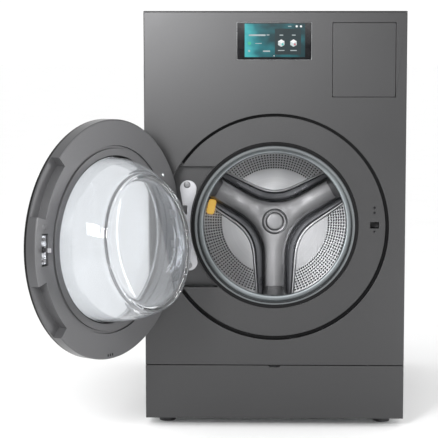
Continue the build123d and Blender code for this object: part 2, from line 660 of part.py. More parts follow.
def bowl_sections(wall):
    """Round sections of the bowl, thinner by a wall, from its flange to its slanted end."""
    for radius, depth, share in BOWL_STEPS:
        depth = depth + wall if depth == BOWL_END else depth
        depth = depth + 4 if wall and depth == -10.0 else depth
        lean = radians(BOWL_TILT * share)
        normal = DOOR.z_dir * cos(lean) - Vector(0, 0, 1) * sin(lean)
        section = Plane(origin=DOOR.offset(depth).origin, x_dir=DOOR.x_dir, z_dir=normal)
        with BuildSketch(section) as ring:
            Circle(radius - wall)
        yield ring.sketch.face()


with BuildPart() as door_bowl:
    loft(list(bowl_sections(0)))
    disc(DOOR.offset(-10), 225, 4)
    loft(list(bowl_sections(GLASS)), mode=Mode.SUBTRACT)

with BuildPart() as bowl_seal:
    tube(DOOR.offset(DOOR_INNER + 2), 209, 205.6, 11.8)

with BuildPart() as latch_plate:
    with BuildSketch(DOOR.offset(DOOR_INNER + 4)) as plate:
        with Locations((LATCH_X - 1, 3)):
            Rectangle(19, 68)
        with Locations((LATCH_X, 4)):
            Rectangle(13, 15, mode=Mode.SUBTRACT)
    extrude(plate.sketch, amount=3)

with BuildPart() as latch_screws:
    for up in (-22, 28):
        disc(DOOR.offset(DOOR_INNER + 4), 4.5, -2.2, at=(LATCH_X - 1, up))

HOOK_PIN = (LATCH_X, DOOR_INNER + 11)

with BuildPart() as latch_hook:
    middle = Plane(origin=DOOR_ORIGIN, x_dir=DOOR.x_dir, z_dir=(0, 0, -1)).offset(-9)
    hook = outline(middle, (LATCH_X - 4, DOOR_INNER + 15), (LATCH_X + 4, DOOR_INNER + 15),
                   (LATCH_X + 3, DOOR_INNER - 14), (LATCH_X + 7, DOOR_INNER - 14), (LATCH_X + 3, DOOR_INNER - 22),
                   (LATCH_X - 3, DOOR_INNER - 18))
    extrude(hook, amount=10)
    hook_hole = Plane.XY.offset(DOOR_Z - 5)
    hook_x = DOOR_ORIGIN[0] + HOOK_PIN[0] * door_c - HOOK_PIN[1] * door_s
    hook_y = DOOR_ORIGIN[1] - HOOK_PIN[0] * door_s - HOOK_PIN[1] * door_c
    disc(hook_hole, 2 + RUNNING, 20, at=(hook_x, hook_y), mode=Mode.SUBTRACT)

with BuildPart() as latch_pin:
    disc(Plane.XY.offset(DOOR_Z - 33), 2, 74, at=(hook_x, hook_y))

# ---------------------------------------------------------------- drain
FILTER = (262.0, 92.0)
DRAIN = Plane(origin=(0, -396, 0), x_dir=(1, 0, 0), z_dir=(0, -1, 0))

with BuildPart() as filter_cap:
    disc(DRAIN.offset(0.4), 31, 7, at=FILTER)
    disc(DRAIN.offset(0.5), 24.9, -55, at=FILTER)
    block((FILTER[0] - 24, FILTER[0] + 24), (-410.5, -403), (FILTER[1] - 5, FILTER[1] + 5))

with BuildPart() as drain_pump:
    tube(DRAIN, 32, 25, -70, at=FILTER)
    disc(DRAIN.offset(-70), 44, -40, at=FILTER)
    disc(DRAIN.offset(-110), 30, -62, at=FILTER)
    block((FILTER[0] - 24, FILTER[0] + 6), (-370, -250), (26, FILTER[1] - 27))

with BuildPart() as sump_hose:
    pipe(17, (150, -180, 204), (150, -180, 150), (150, -292, 130), (180, -292, 92), (217.8, -292, 92), bend=22)

with BuildPart() as drain_spigot:
    disc(BACK.offset(-4), 13.5, 18, at=DRAIN_OUT)
    disc(BACK.offset(-18), 10.5, 14, at=DRAIN_OUT)

# ---------------------------------------------------------------- water and power
with BuildPart() as water_valves:
    for valve in VALVES:
        disc(BACK.offset(-14), 13.2, 16, at=valve)
        block((valve[0] - 22, valve[0] + 22), (376, 428), (valve[1] - 20, valve[1] + 16))
        disc(Plane.XY.offset(valve[1] + 16), 12, 22, at=(valve[0], 400))

with BuildPart() as power_gland:
    tube(BACK.offset(-8), 16, 5.5, 8, at=POWER_IN)
    tube(BACK.offset(0), 10.8, 5.5, 14, at=POWER_IN)

# ---------------------------------------------------------------- heat pump
with BuildPart() as heat_pump_base:
    block((-310, 310), (-60, 424), (DECK_Z, DECK_Z + 3))
    for side in (-1, 1):
        block(sorted((side * 306, side * 310)), (-60, 424), (DECK_Z, DECK_Z + 22))
        block(sorted((side * 308, side * INSIDE)), (200, 424), (DECK_Z, DECK_Z + 3))
    block((-300, 60), (-40, 370), (DECK_Z, 1028))
    block((-297, 57), (-37, 367), (DECK_Z + 3, 1030), mode=Mode.SUBTRACT)

with BuildPart() as heat_pump_cover:
    block((-304, 64), (-44, 371), (1028, 1031))
    block((-296.8, 56.8), (-36.8, 366.8), (1022, 1028))
    block((-294, 54), (-34, 364), (1021, 1028), mode=Mode.SUBTRACT)

with BuildPart() as heat_exchanger_coils:
    for y in ((-20, 90), (120, 230)):
        block((-290, 50), y, (DECK_Z + 3, 1018))
        for fin in range(26):
            x = -282 + 12.5 * fin
            block((x, x + 8.5), (y[0] - 1, y[1] + 1), (DECK_Z + 16, 1004), mode=Mode.SUBTRACT)

COMPRESSOR = (220.0, 140.0)

with BuildPart() as compressor:
    disc(Plane.XY.offset(DECK_Z + 12), 62, 142, at=COMPRESSOR)
    fillet(compressor.edges().filter_by(GeomType.CIRCLE), radius=18)
    for angle in (30, 150, 270):
        x = COMPRESSOR[0] + 64 * cos(radians(angle))
        y = COMPRESSOR[1] + 64 * sin(radians(angle))
        disc(Plane.XY.offset(DECK_Z + 3), 12, 16, at=(x, y))

with BuildPart() as refrigerant_pipes:
    pipe(5, (60, 60, 980), (110, 60, 980), (220, 60, 1028), (220, 110, 1028), bend=14)
    pipe(5, (60, 200, 980), (90, 200, 980), (140, 255, 1000), (200, 230, 1028), (200, 160, 1028), bend=14)

with BuildPart() as fan_wheel:
    tube(Plane.XY.offset(DECK_Z + 24), 50, 46, 3, at=(-120, 300))
    tube(Plane.XY.offset(DECK_Z + 86), 50, 44, 3, at=(-120, 300))
    disc(Plane.XY.offset(DECK_Z + 24), 48, 3, at=(-120, 300))
    for blade in range(24):
        with BuildSketch(Plane.XY.offset(DECK_Z + 26)) as vane:
            with Locations((-120, 300)):
                with PolarLocations(46.5, 24):
                    Rectangle(5, 1.6, rotation=35)
    extrude(vane.sketch, amount=61)
    tube(Plane.XY.offset(DECK_Z + 20), 9, 4.06, 14, at=(-120, 300))
    disc(Plane.XY.offset(DECK_Z + 16), 4.06, 30, at=(-120, 300), mode=Mode.SUBTRACT)

with BuildPart() as fan_motor:
    disc(Plane.XY.offset(DECK_Z + 3), 30, 15, at=(-120, 300))
    disc(Plane.XY.offset(DECK_Z + 18), 4, 22, at=(-120, 300))

PIECES = {
    "base_pan": base_pan,
    "levelling_feet": levelling_feet,
    "left_side_panel": left_side_panel,
    "right_side_panel": right_side_panel,
    "rear_panel": rear_panel,
    "cabinet_screws": cabinet_screws,
    "top_panel": top_panel,
    "spring_rails": spring_rails,
    "heat_pump_base": heat_pump_base,
    "heat_pump_cover": heat_pump_cover,
    "heat_exchanger_coils": heat_exchanger_coils,
    "compressor": compressor,
    "refrigerant_pipes": refrigerant_pipes,
    "fan_wheel": fan_wheel,
    "fan_motor": fan_motor,
    "front_panel": front_panel,
    "service_panel": service_panel,
    "display_bezel": display_bezel,
    "display_glass": display_glass,
    "display_housing": display_housing,
    "drawer_front": drawer_front,
    "drawer_tray": drawer_tray,
    "tank_covers": tank_covers,
    "dispenser_housing": dispenser_housing,
    "tub_front": tub_front,
    "tub_rear": tub_rear,
    "front_counterweights": front_counterweights,
    "drum_bearings": drum_bearings,
    "motor_stator": motor_stator,
    "damper_rods": damper_rods,
    "damper_tubes": damper_tubes,
    "suspension_springs": suspension_springs,
    "drum_shell": drum_shell,
    "drum_back": drum_back,
    "drum_arm_cover": drum_arm_cover,
    "hub_cap": hub_cap,
    "arm_lock_tab": arm_lock_tab,
    "drum_lifters": drum_lifters,
    "drum_spider": drum_spider,
    "motor_rotor": motor_rotor,
    "gasket_trim_ring": gasket_trim_ring,
    "door_gasket": door_gasket,
    "hinge_bracket": hinge_bracket,
    "door_lock": door_lock,
    "door_inner_frame": door_inner_frame,
    "door_hinge_pin": door_hinge_pin,
    "door_outer_trim": door_outer_trim,
    "door_window": door_window,
    "door_bowl": door_bowl,
    "bowl_seal": bowl_seal,
    "latch_plate": latch_plate,
    "latch_screws": latch_screws,
    "latch_hook": latch_hook,
    "latch_pin": latch_pin,
    "drain_pump": drain_pump,
    "filter_cap": filter_cap,
    "sump_hose": sump_hose,
    "drain_spigot": drain_spigot,
    "water_valves": water_valves,
    "power_gland": power_gland,
}

for name, piece in PIECES.items():
    piece.part.label = name
    export_step(piece.part, f"parts/{name}.step")
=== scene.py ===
import json
from math import cos, pi, radians, sin, sqrt

import bmesh
import bpy
from mathutils import Matrix, Vector

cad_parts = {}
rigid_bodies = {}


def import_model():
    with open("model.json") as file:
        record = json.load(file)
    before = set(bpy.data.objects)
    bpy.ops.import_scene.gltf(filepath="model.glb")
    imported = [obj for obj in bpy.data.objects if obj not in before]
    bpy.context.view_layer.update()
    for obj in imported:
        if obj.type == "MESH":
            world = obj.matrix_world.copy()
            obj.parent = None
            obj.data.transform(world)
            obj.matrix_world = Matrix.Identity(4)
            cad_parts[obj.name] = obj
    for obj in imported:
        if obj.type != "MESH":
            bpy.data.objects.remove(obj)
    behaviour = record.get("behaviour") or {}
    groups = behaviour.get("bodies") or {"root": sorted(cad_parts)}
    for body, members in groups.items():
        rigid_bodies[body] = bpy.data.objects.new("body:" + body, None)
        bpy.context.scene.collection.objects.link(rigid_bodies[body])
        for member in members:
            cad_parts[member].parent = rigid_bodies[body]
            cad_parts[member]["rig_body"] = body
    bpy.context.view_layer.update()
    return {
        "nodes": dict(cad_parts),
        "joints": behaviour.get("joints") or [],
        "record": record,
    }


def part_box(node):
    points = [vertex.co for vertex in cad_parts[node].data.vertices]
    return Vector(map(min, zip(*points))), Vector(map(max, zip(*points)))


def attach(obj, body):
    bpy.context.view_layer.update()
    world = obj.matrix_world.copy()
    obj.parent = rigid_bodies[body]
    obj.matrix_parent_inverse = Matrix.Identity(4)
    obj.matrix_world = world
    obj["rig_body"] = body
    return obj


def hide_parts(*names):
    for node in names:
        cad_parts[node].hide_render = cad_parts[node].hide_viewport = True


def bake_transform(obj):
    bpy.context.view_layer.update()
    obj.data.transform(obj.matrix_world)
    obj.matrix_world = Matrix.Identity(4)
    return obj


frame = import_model()
nodes = frame["nodes"]
joints = {j["name"]: j for j in frame["joints"]}
slot_of = {p["node"]: p["material_slot"] for p in frame["record"]["subparts"]}
MM = 0.001
TURNS = 192  # steps round the larger turned pieces
WELD = 2e-6  # corners of the CAD mesh this near each other, in metres, are one
EDGE_FROM = 28  # degrees between two faces past which their edge is rounded

# ------------------------------------------------------------------ places
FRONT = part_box("front_panel")[0].y
HINGE = Vector(joints["door_hinge"]["pos_m"])
OPEN = radians(joints["door_hinge"]["range_deg"][1])
MOUTH_Z = sum(v.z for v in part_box("gasket_trim_ring")) / 2


def place(origin, x_dir, z_dir):
    """A frame in metres whose local units are millimetres."""
    z = Vector(z_dir).normalized()
    x = Vector(x_dir).normalized()
    turn = Matrix((x, z.cross(x), z)).transposed().to_4x4()
    return Matrix.Translation(Vector(origin)) @ turn @ Matrix.Scale(MM, 4)


FACE = place((0, FRONT, HINGE.z), (1, 0, 0), (0, -1, 0))
MOUTH = place((0, FRONT, MOUTH_Z), (1, 0, 0), (0, -1, 0))
DRUM = place(joints["drum_spin"]["pos_m"], (1, 0, 0), joints["drum_spin"]["axis"])
door_x = Vector((cos(OPEN), -sin(OPEN), 0))
DOOR = place(HINGE - HINGE.x * door_x, door_x, (-sin(OPEN), -cos(OPEN), 0))
# the door's inner side, seen from the drum: its x runs back towards the hinge
DOOR_INSIDE = DOOR @ Matrix.Rotation(pi, 4, "Y")
DOOR_IN = -(DOOR.to_3x3() @ Vector((0, 0, 1))).normalized()


# ------------------------------------------------------------------ materials
class Surface:
    """A Principled material whose detail comes from nodes on object coordinates."""

    def __init__(self, name, color, metallic, rough, **extra):
        self.made = bpy.data.materials.new(name)
        self.made.use_nodes = True
        self.tree = self.made.node_tree
        self.shader = self.tree.nodes["Principled BSDF"]
        self.color = color
        self.shader.inputs["Metallic"].default_value = metallic
        self.shader.inputs["Roughness"].default_value = rough
        self.shader.inputs["Base Color"].default_value = (*color, 1)
        for key, value in extra.items():
            self.shader.inputs[key.replace("_", " ")].default_value = value
        self.at = self.node("ShaderNodeTexCoord").outputs["Object"]
        self.tint = self.normal = None

    @classmethod
    def of(cls, made):
        """Takes up a finished material again, to add to it."""
        again = cls.__new__(cls)
        again.made, again.tree = made, made.node_tree
        again.shader = again.tree.nodes["Principled BSDF"]
        again.at = again.node("ShaderNodeTexCoord").outputs["Object"]
        again.tint = again.shader.inputs["Base Color"].links[0].from_socket
        again.normal = again.shader.inputs["Normal"].links[0].from_socket
        return again

    def node(self, kind, links=None, **settings):
        """A new node; each named input is linked if given a socket, and set if given a value."""
        made = self.tree.nodes.new(kind)
        for key, value in settings.items():
            setattr(made, key, value)
        for key, value in (links or {}).items():
            if isinstance(value, bpy.types.NodeSocket):
                self.tree.links.new(value, made.inputs[key])
            else:
                made.inputs[key].default_value = value
        return made

    def noise(self, scale, detail=3.0, stretch=(1, 1, 1), source=None):
        """Noise over the object, or over another source of coordinates."""
        moved = self.node("ShaderNodeMapping", {"Vector": source or self.at, "Scale": stretch})
        return self.node(
            "ShaderNodeTexNoise", {"Vector": moved.outputs[0], "Scale": scale, "Detail": detail}
        ).outputs["Fac"]

    def spread(self, value, low, high, start=0.3, end=0.7):
        """The value's middle range stretched over low to high."""
        return self.node(
            "ShaderNodeMapRange",
            {"Value": value, "From Min": start, "From Max": end, "To Min": low, "To Max": high},
        ).outputs[0]

    def tone(self, value, amount):
        """Lightens and darkens the colour by a share where value is high and low."""
        self.mix(self.spread(value, 0.0, 1.0), [c * (1 - amount) for c in self.color],
                 [min(1, c * (1 + amount)) for c in self.color])

    def mix(self, factor, dark, light):
        """Mixes light in by a factor, over the colour so far, or over dark if there is none yet."""
        made = self.node("ShaderNodeMix", data_type="RGBA")
        self.tree.links.new(factor, made.inputs[0])
        if self.tint is None:
            made.inputs[6].default_value = (*dark, 1)
        else:
            self.tree.links.new(self.tint, made.inputs[6])
        made.inputs[7].default_value = (*light, 1)
        self.tint = made.outputs[2]
        self.tree.links.new(self.tint, self.shader.inputs["Base Color"])

    def gloss(self, value, low, high):
        """Varies the roughness from low to high."""
        self.tree.links.new(self.spread(value, low, high), self.shader.inputs["Roughness"])

    def bump(self, value, strength, depth):
        """Adds relief to whatever relief there is already."""
        links = {"Height": value, "Strength": strength, "Distance": depth}
        if self.normal is not None:
            links["Normal"] = self.normal
        self.normal = self.node("ShaderNodeBump", links).outputs[0]
        self.tree.links.new(self.normal, self.shader.inputs["Normal"])


def painted(name, color, metallic=0.65, rough=0.38):
    """Metallic paint: fine flake, orange peel and a little handling haze."""
    made = Surface(name, color, metallic, rough)
    flake = made.noise(2600, 1.0)
    made.tone(flake, 0.16)
    made.gloss(made.noise(7, 4.0), rough - 0.015, rough + 0.025)
    made.bump(made.noise(420, 2.0), 0.12, 0.0004)
    made.bump(flake, 0.06, 0.0002)
    return made.made


def brushed(name, color, stretch, rough=0.3, metallic=1.0, amount=0.1, relief=0.12):
    """Bare metal with fine lines along one direction."""
    made = Surface(name, color, metallic, rough)
    lines = made.noise(340, 4.0, stretch)
    made.tone(lines, amount)
    made.gloss(made.noise(30, 3.0), rough - 0.06, rough + 0.1)
    made.bump(lines, relief, 0.0003)
    return made.made


def moulded(name, color, rough=0.5, grain=900, depth=0.0003, **extra):
    """Moulded plastic or rubber with a fine spark-eroded grain."""
    made = Surface(name, color, 0.0, rough, **extra)
    made.tone(made.noise(14, 4.0), 0.07)
    made.gloss(made.noise(60, 3.0), rough - 0.05, rough + 0.08)
    made.bump(made.noise(grain, 2.0), 0.3, depth)
    return made.made


def spangled(name, color):
    """Zinc-coated sheet with its crystal pattern."""
    made = Surface(name, color, 0.9, 0.46)
    cells = made.node("ShaderNodeTexVoronoi", {"Vector": made.at, "Scale": 190.0})
    made.tone(cells.outputs["Color"], 0.06)
    made.gloss(cells.outputs["Color"], 0.42, 0.5)
    made.bump(made.noise(300, 3.0), 0.1, 0.0003)
    return made.made


def clear(name, color, rough, wave, passing):
    """Glass or clear plastic with slow waves; passing is the share of light that goes through."""
    made = Surface(name, color, 0.0, rough, Transmission_Weight=passing, IOR=1.46)
    made.mix(made.spread(made.noise(4, 2.0), 0.0, 0.6), color, [c * 0.95 for c in color])
    made.gloss(made.noise(18, 3.0), rough, rough + 0.03)
    made.bump(made.noise(wave, 1.0), 0.12, 0.002)
    return made.made


def turned(name, color, rough, axis, amount=0.12):
    """Metal with fine rings about an axis."""
    made = Surface(name, color, 1.0, rough)
    middle = tuple(axis.translation)
    away = made.node("ShaderNodeVectorMath", {0: made.at, 1: middle}, operation="SUBTRACT")
    length = made.node("ShaderNodeVectorMath", {0: away.outputs[0]}, operation="LENGTH")
    rings = made.node("ShaderNodeCombineXYZ", {"X": length.outputs["Value"]}).outputs[0]
    lines = made.noise(900, 3.0, source=rings)
    made.tone(lines, amount)
    made.gloss(made.noise(20, 3.0), rough - 0.04, rough + 0.05)
    made.bump(lines, 0.01, 0.0001)
    return made.made


# ------------------------------------------------------------------ mesh tools
def finish_mesh(work, name, sharp=32):
    """Turns working geometry into a smooth-shaded mesh, sharp past an angle in degrees."""
    mesh = bpy.data.meshes.new(name)
    bmesh.ops.recalc_face_normals(work, faces=work.faces)
    work.to_mesh(mesh)
    work.free()
    mesh.polygons.foreach_set("use_smooth", [True] * len(mesh.polygons))
    mesh.set_sharp_from_angle(angle=radians(sharp))
    return mesh


def piece(name, mesh, material, *stands_for, body=None, slot=None, blended=False):
    """A visible piece in the row frame that rides with the CAD nodes it stands for."""
    made = bpy.data.objects.new(name, mesh)
    bpy.context.scene.collection.objects.link(made)
    mesh.materials.clear()
    mesh.materials.append(material)
    if not blended:
        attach(made, body or nodes[stands_for[0]]["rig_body"])
    if stands_for:
        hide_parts(*stands_for)
    return made


def edged(node, width, steps):
    """The CAD node's own shape with its edges rounded to a width in millimetres."""
    work = bmesh.new()
    work.from_mesh(nodes[node].data)
    bmesh.ops.remove_doubles(work, verts=work.verts, dist=WELD)
    bmesh.ops.dissolve_limit(
        work, angle_limit=radians(0.5), verts=work.verts, edges=work.edges, delimit={"NORMAL"}
    )
    sharp = [
        e for e in work.edges
        if len(e.link_faces) == 2 and e.calc_face_angle(0) > radians(EDGE_FROM)
    ]
    if sharp:
        bmesh.ops.bevel(
            work, geom=sharp, offset=width * MM, offset_type="OFFSET", segments=steps, profile=0.5,
            affect="EDGES", clamp_overlap=True, miter_outer="ARC",
        )
    bmesh.ops.remove_doubles(work, verts=work.verts, dist=WELD / 2)
    made = piece(node + "_skin", finish_mesh(work, node, 40), look(node), node)
    made.modifiers.new("normals", "WEIGHTED_NORMAL").keep_sharp = True


def islands(node):
    """The lowest and highest corner of each separate solid of a node."""
    work = bmesh.new()
    work.from_mesh(nodes[node].data)
    bmesh.ops.remove_doubles(work, verts=work.verts, dist=WELD)
    left, found = set(work.verts), []
    while left:
        ready, seen = [left.pop()], []
        while ready:
            v = ready.pop()
            seen.append(v.co.copy())
            for e in v.link_edges:
                other = e.other_vert(v)
                if other in left:
                    left.remove(other)
                    ready.append(other)
        low = Vector(min(c[i] for c in seen) for i in range(3))
        high = Vector(max(c[i] for c in seen) for i in range(3))
        found.append((low, high))
    work.free()
    return sorted(found, key=lambda b: tuple(b[0]))


CORNER_SHARE = 0.45  # the most of a side that a corner's rounding takes up
CORNER_LEAST = 0.02  # a corner with less room than this, in millimetres, stays sharp


def soften(points, radius=1.0, steps=3, closed=True):
    """A profile with its corners rounded by up to a radius, or each by its own third number."""
    done = []
    count = len(points)
    for i, here in enumerate(points):
        if not closed and i in (0, count - 1):
            done.append(Vector(here[:2]))
            continue
        p, a, b = Vector(here[:2]), Vector(points[i - 1][:2]), Vector(points[(i + 1) % count][:2])
        size = here[2] if len(here) > 2 else radius
        reach = min(size, (a - p).length * CORNER_SHARE, (b - p).length * CORNER_SHARE)
        if reach < CORNER_LEAST:
            done.append(p)
            continue
        start, end = p + (a - p).normalized() * reach, p + (b - p).normalized() * reach
        for k in range(steps + 1):
            t = k / steps
            done.append(start * (1 - t) ** 2 + p * 2 * t * (1 - t) + end * t * t)
    return done


def around(r, k, turns, z):
    """The point at a radius and height that is k of so many equal steps round z."""
    angle = 2 * pi * k / turns
    return Vector((r * cos(angle), r * sin(angle), z))


def lathe(axis, profile, name, turns=TURNS, closed=True, sharp=32):
    """Revolves a profile of (radius, height) about a frame's z; a radius of 0 is one point."""
    work = bmesh.new()
    rings = []
    for r, z in profile:
        steps = turns if r else 1
        rings.append([work.verts.new(axis @ around(r, k, turns, z)) for k in range(steps)])
    span(work, rings, turns, closed)
    return finish_mesh(work, name, sharp)


def span(work, rings, turns, closed=True):
    """Joins each ring of corners to the next; a ring may be a single point."""
    for a, b in zip(rings, rings[1:] + rings[:1] if closed else rings[1:]):
        for k in range(turns):
            n = (k + 1) % turns
            corners = [a[k % len(a)], a[n % len(a)], b[n % len(b)], b[k % len(b)]]
            corners = list(dict.fromkeys(corners))
            if len(corners) > 2:
                work.faces.new(corners)


def slab(frame_at, points, bottom, top):
    """A flat plate from its outline, in a frame's millimetres, between two heights."""
    work = bmesh.new()
    low = [work.verts.new(frame_at @ Vector((x, y, bottom))) for x, y in points]
    high = [work.verts.new(frame_at @ Vector((x, y, top))) for x, y in points]
    work.faces.new(low)
    work.faces.new(high)
    for k in range(len(points)):
        work.faces.new([low[k - 1], low[k], high[k], high[k - 1]])
    return work


def join(joined, work, name):
    """Adds one working geometry to another and frees it."""
    part = bpy.data.meshes.new(name)
    work.to_mesh(part)
    work.free()
    joined.from_mesh(part)
    bpy.data.meshes.remove(part)


def thicken(made, depth):
    """Gives a piece made of a bare surface a depth in millimetres, on its inner side."""
    solid = made.modifiers.new("sheet", "SOLIDIFY")
    solid.thickness = depth * MM
    solid.offset = -1
    solid.use_even_offset = True


def perforated(where, arc, columns, levels, pierced, hole):
    """A sheet of cells round an axis; a pierced cell has a round hole of a radius.

    where(u, v) is a point in metres at an angle u and a level v, and arc(v) is the level's radius.
    """
    work = bmesh.new()
    grid = {}

    def lattice(i, j):
        """A corner or middle of the cells' grid, made once."""
        i %= 2 * columns
        if (i, j) not in grid:
            low, high = levels[j // 2], levels[min(j // 2 + 1, len(levels) - 1)]
            v = low if j % 2 == 0 else (low + high) / 2
            grid[i, j] = work.verts.new(where(pi * i / columns, v))
        return grid[i, j]

    ring_steps = [(-1, -1), (0, -1), (1, -1), (1, 0), (1, 1), (0, 1), (-1, 1), (-1, 0)]
    for c in range(columns):
        for r in range(len(levels) - 1):
            i, j = 2 * c + 1, 2 * r + 1
            edge = [lattice(i + a, j + b) for a, b in ring_steps]
            u, v = pi * i / columns, (levels[r] + levels[r + 1]) / 2
            if not pierced(c, r):
                middle = lattice(i, j)
                for k in range(0, 8, 2):
                    work.faces.new([middle, edge[k - 1], edge[k], edge[k + 1]])
                continue
            rim = []
            for a, b in ring_steps:
                size = sqrt(a * a + b * b)
                rim.append(work.verts.new(where(u + hole * a / size / arc(v), v + hole * b / size)))
            for k in range(8):
                work.faces.new([edge[k - 1], edge[k], rim[k], rim[k - 1]])
    return work


# ------------------------------------------------------------------ looks of each slot
LOOKS = {
    "graphite_panel": painted("graphite_paint", (0.06, 0.06, 0.0612), 0.9, 0.36),
    "zinc_steel": spangled("zinc_sheet", (0.5, 0.51, 0.52)),
    "screw_zinc": brushed("screw_zinc", (0.2, 0.2, 0.205), (1, 1, 1), 0.34),
    "black_glass": moulded(
        "black_glass", (0.003, 0.003, 0.004), 0.1, 60, 0.00003, Specular_IOR_Level=0.12
    ),
    "bezel_metal": brushed("bezel_metal", (0.25, 0.255, 0.26), (0.1, 1, 1), 0.3),
    "grey_moulding": moulded("grey_moulding", (0.1, 0.103, 0.107), 0.55),
    "white_moulding": moulded("white_moulding", (0.75, 0.77, 0.77), 0.35),
    "black_moulding": moulded("black_moulding", (0.016, 0.016, 0.018), 0.5),
    "valve_body": moulded("valve_body", (0.62, 0.64, 0.66), 0.45),
    "cast_weight": moulded("cast_weight", (0.36, 0.35, 0.33), 0.85, 160, 0.002),
    "bright_steel": brushed("bright_steel", (0.66, 0.67, 0.68), (1, 1, 0.1), 0.22),
    "spring_steel": brushed("spring_steel", (0.3, 0.31, 0.32), (1, 1, 0.2), 0.35),
    "damper_body": moulded("damper_body", (0.05, 0.05, 0.053), 0.5),
    "drum_stainless": turned("drum_stainless", (0.6, 0.605, 0.62), 0.37, DRUM, 0.04),
    "arm_satin": brushed("arm_satin", (0.34, 0.34, 0.35), (1, 1, 1), 0.34, 1.0, 0.03, 0.006),
    # painted light: the amber tab is given a glow by emission, though it is no lamp
    "amber_plastic": moulded(
        "amber_plastic", (1.0, 0.72, 0.2), 0.3, Emission_Color=(1.0, 0.55, 0.08, 1),
        Emission_Strength=0.45,
    ),
    "lifter_plastic": moulded("lifter_plastic", (0.045, 0.048, 0.052), 0.4),
    "cast_aluminium": moulded(
        "cast_aluminium", (0.5, 0.5, 0.51), 0.5, 300, 0.001, Metallic=0.9
    ),
    "motor_iron": painted("motor_iron", (0.06, 0.065, 0.07), 0.3, 0.5),
    "seal_black": moulded(
        "seal_black", (0.006, 0.006, 0.0065), 0.7, 500, Specular_IOR_Level=0.15
    ),
    "gasket_grey": moulded(
        "gasket_grey", (0.13, 0.14, 0.145), 0.6, 500, Specular_IOR_Level=0.25
    ),
    "hinge_silver": brushed("hinge_silver", (0.43, 0.43, 0.445), (1, 1, 1), 0.36, 0.85, 0.04),
    "door_grey": painted("door_grey", (0.118, 0.118, 0.122), 0.6, 0.4),
    "door_black": moulded(
        "door_black", (0.003, 0.003, 0.0035), 0.6, 80, 0.00005, Specular_IOR_Level=0.05
    ),
    "window_glass": clear("window_glass", (0.93, 0.945, 0.96), 0.12, 5, 0.9),
    "bowl_glass": clear("bowl_glass", (0.885, 0.905, 0.93), 0.015, 7, 0.96),
    "latch_chrome": brushed("latch_chrome", (0.5, 0.5, 0.51), (1, 0.2, 1), 0.2, 1.0, 0.04),
    "heat_fins": brushed("heat_fins", (0.7, 0.72, 0.74), (1, 1, 0.1), 0.35),
    "compressor_black": painted("compressor_black", (0.015, 0.015, 0.016), 0.2, 0.4),
    "copper": brushed("copper", (0.7, 0.32, 0.18), (1, 1, 1), 0.3),
    "fan_motor_steel": painted("fan_motor_steel", (0.12, 0.125, 0.13), 0.6, 0.4),
}
BLACK = (0, 0, 0)
RIM_BLEND, LIP_BLEND = 0.0006, 0.0008  # how softly the two start, in metres


def darkened_rim(made, axis, radius, rim, rough, lip_from, lip):
    """Darkens and polishes a material past a radius about an axis, blackening it past a height."""
    surface = Surface.of(made)
    middle, along = tuple(axis.translation), tuple(axis.to_3x3().col[2].normalized())

    def measure(operation, *values):
        return surface.node(
            "ShaderNodeVectorMath", dict(enumerate(values)), operation=operation
        ).outputs

    away = measure("SUBTRACT", surface.at, middle)[0]
    across = measure("CROSS_PRODUCT", away, along)[0]
    length = measure("LENGTH", across)["Value"]
    outside = surface.spread(length, 0.0, 1.0, radius - RIM_BLEND, radius)
    surface.mix(outside, BLACK, rim)
    height = measure("DOT_PRODUCT", away, along)["Value"]
    past = surface.spread(height, 0.0, 1.0, lip_from, lip_from + LIP_BLEND)
    both = surface.node("ShaderNodeMath", {0: outside, 1: past}, operation="MULTIPLY").outputs[0]
    surface.mix(both, BLACK, lip)
    was = surface.shader.inputs["Roughness"].links[0].from_socket
    blend = surface.node("ShaderNodeMix", {0: outside, 2: was, 3: rough})
    surface.tree.links.new(blend.outputs[0], surface.shader.inputs["Roughness"])


# the door's turned edge is darker and glossier than its face, and its outer lip nearly black
darkened_rim(
    LOOKS["door_grey"], DOOR, radius=0.2972, rim=(0.075, 0.075, 0.078), rough=0.3,
    lip_from=0.0035, lip=(0.002, 0.002, 0.002),
)
for name, node in nodes.items():
    node.data.materials.clear()
    node.data.materials.append(LOOKS[slot_of[name]])


def look(node):
    """The material of a CAD node's slot."""
    return LOOKS[slot_of[node]]


def added(name, mesh, like, body):
    """A visible piece beyond the CAD's own, finished like one of its nodes."""
    return piece(name, mesh, look(like), body=body, slot=slot_of[like])


# ------------------------------------------------------------------ cabinet
# each node's edge width in millimetres and the steps across it
for name, width, steps in (
    ("front_panel", 0.9, 3), ("service_panel", 0.9, 3), ("top_panel", 0.5, 2),
    ("left_side_panel", 0.6, 2), ("right_side_panel", 0.6, 2), ("rear_panel", 0.5, 1),
    ("base_pan", 0.6, 1), ("drawer_front", 0.7, 3), ("display_bezel", 0.25, 1),
    ("display_glass", 0.35, 2), ("hinge_bracket", 1.0, 3), ("door_lock", 1.0, 2),
    ("levelling_feet", 1.5, 2), ("water_valves", 1.2, 2), ("drain_spigot", 1.0, 2),
    ("power_gland", 1.2, 2), ("drawer_tray", 1.0, 2), ("tank_covers", 1.0, 2),
    ("drum_lifters", 5.0, 4), ("arm_lock_tab", 2.5, 4), ("filter_cap", 1.5, 3),
    ("door_inner_frame", 1.2, 3), ("door_outer_trim", 1.0, 2), ("latch_plate", 0.5, 2),
    ("latch_hook", 1.0, 2), ("gasket_trim_ring", 1.5, 3), ("bowl_seal", 0.8, 2),
    ("front_counterweights", 4.0, 2), ("motor_rotor", 1.5, 2), ("drum_spider", 3.0, 2),
):
    edged(name, width, steps)

HEAD_TURNS = 24
CROSS_SHARE = 0.14  # half the width of the cross's arms, as a share of the head's radius
# share of the radius, share of the height, and whether the ring takes the cross's outline
HEAD_RINGS = (
    (1.0, 0.0, False), (1.0, 0.45, False), (0.9, 0.8, False), (0.66, 0.96, False),
    (0.5, 0.95, True), (0.5, 0.35, True),
)


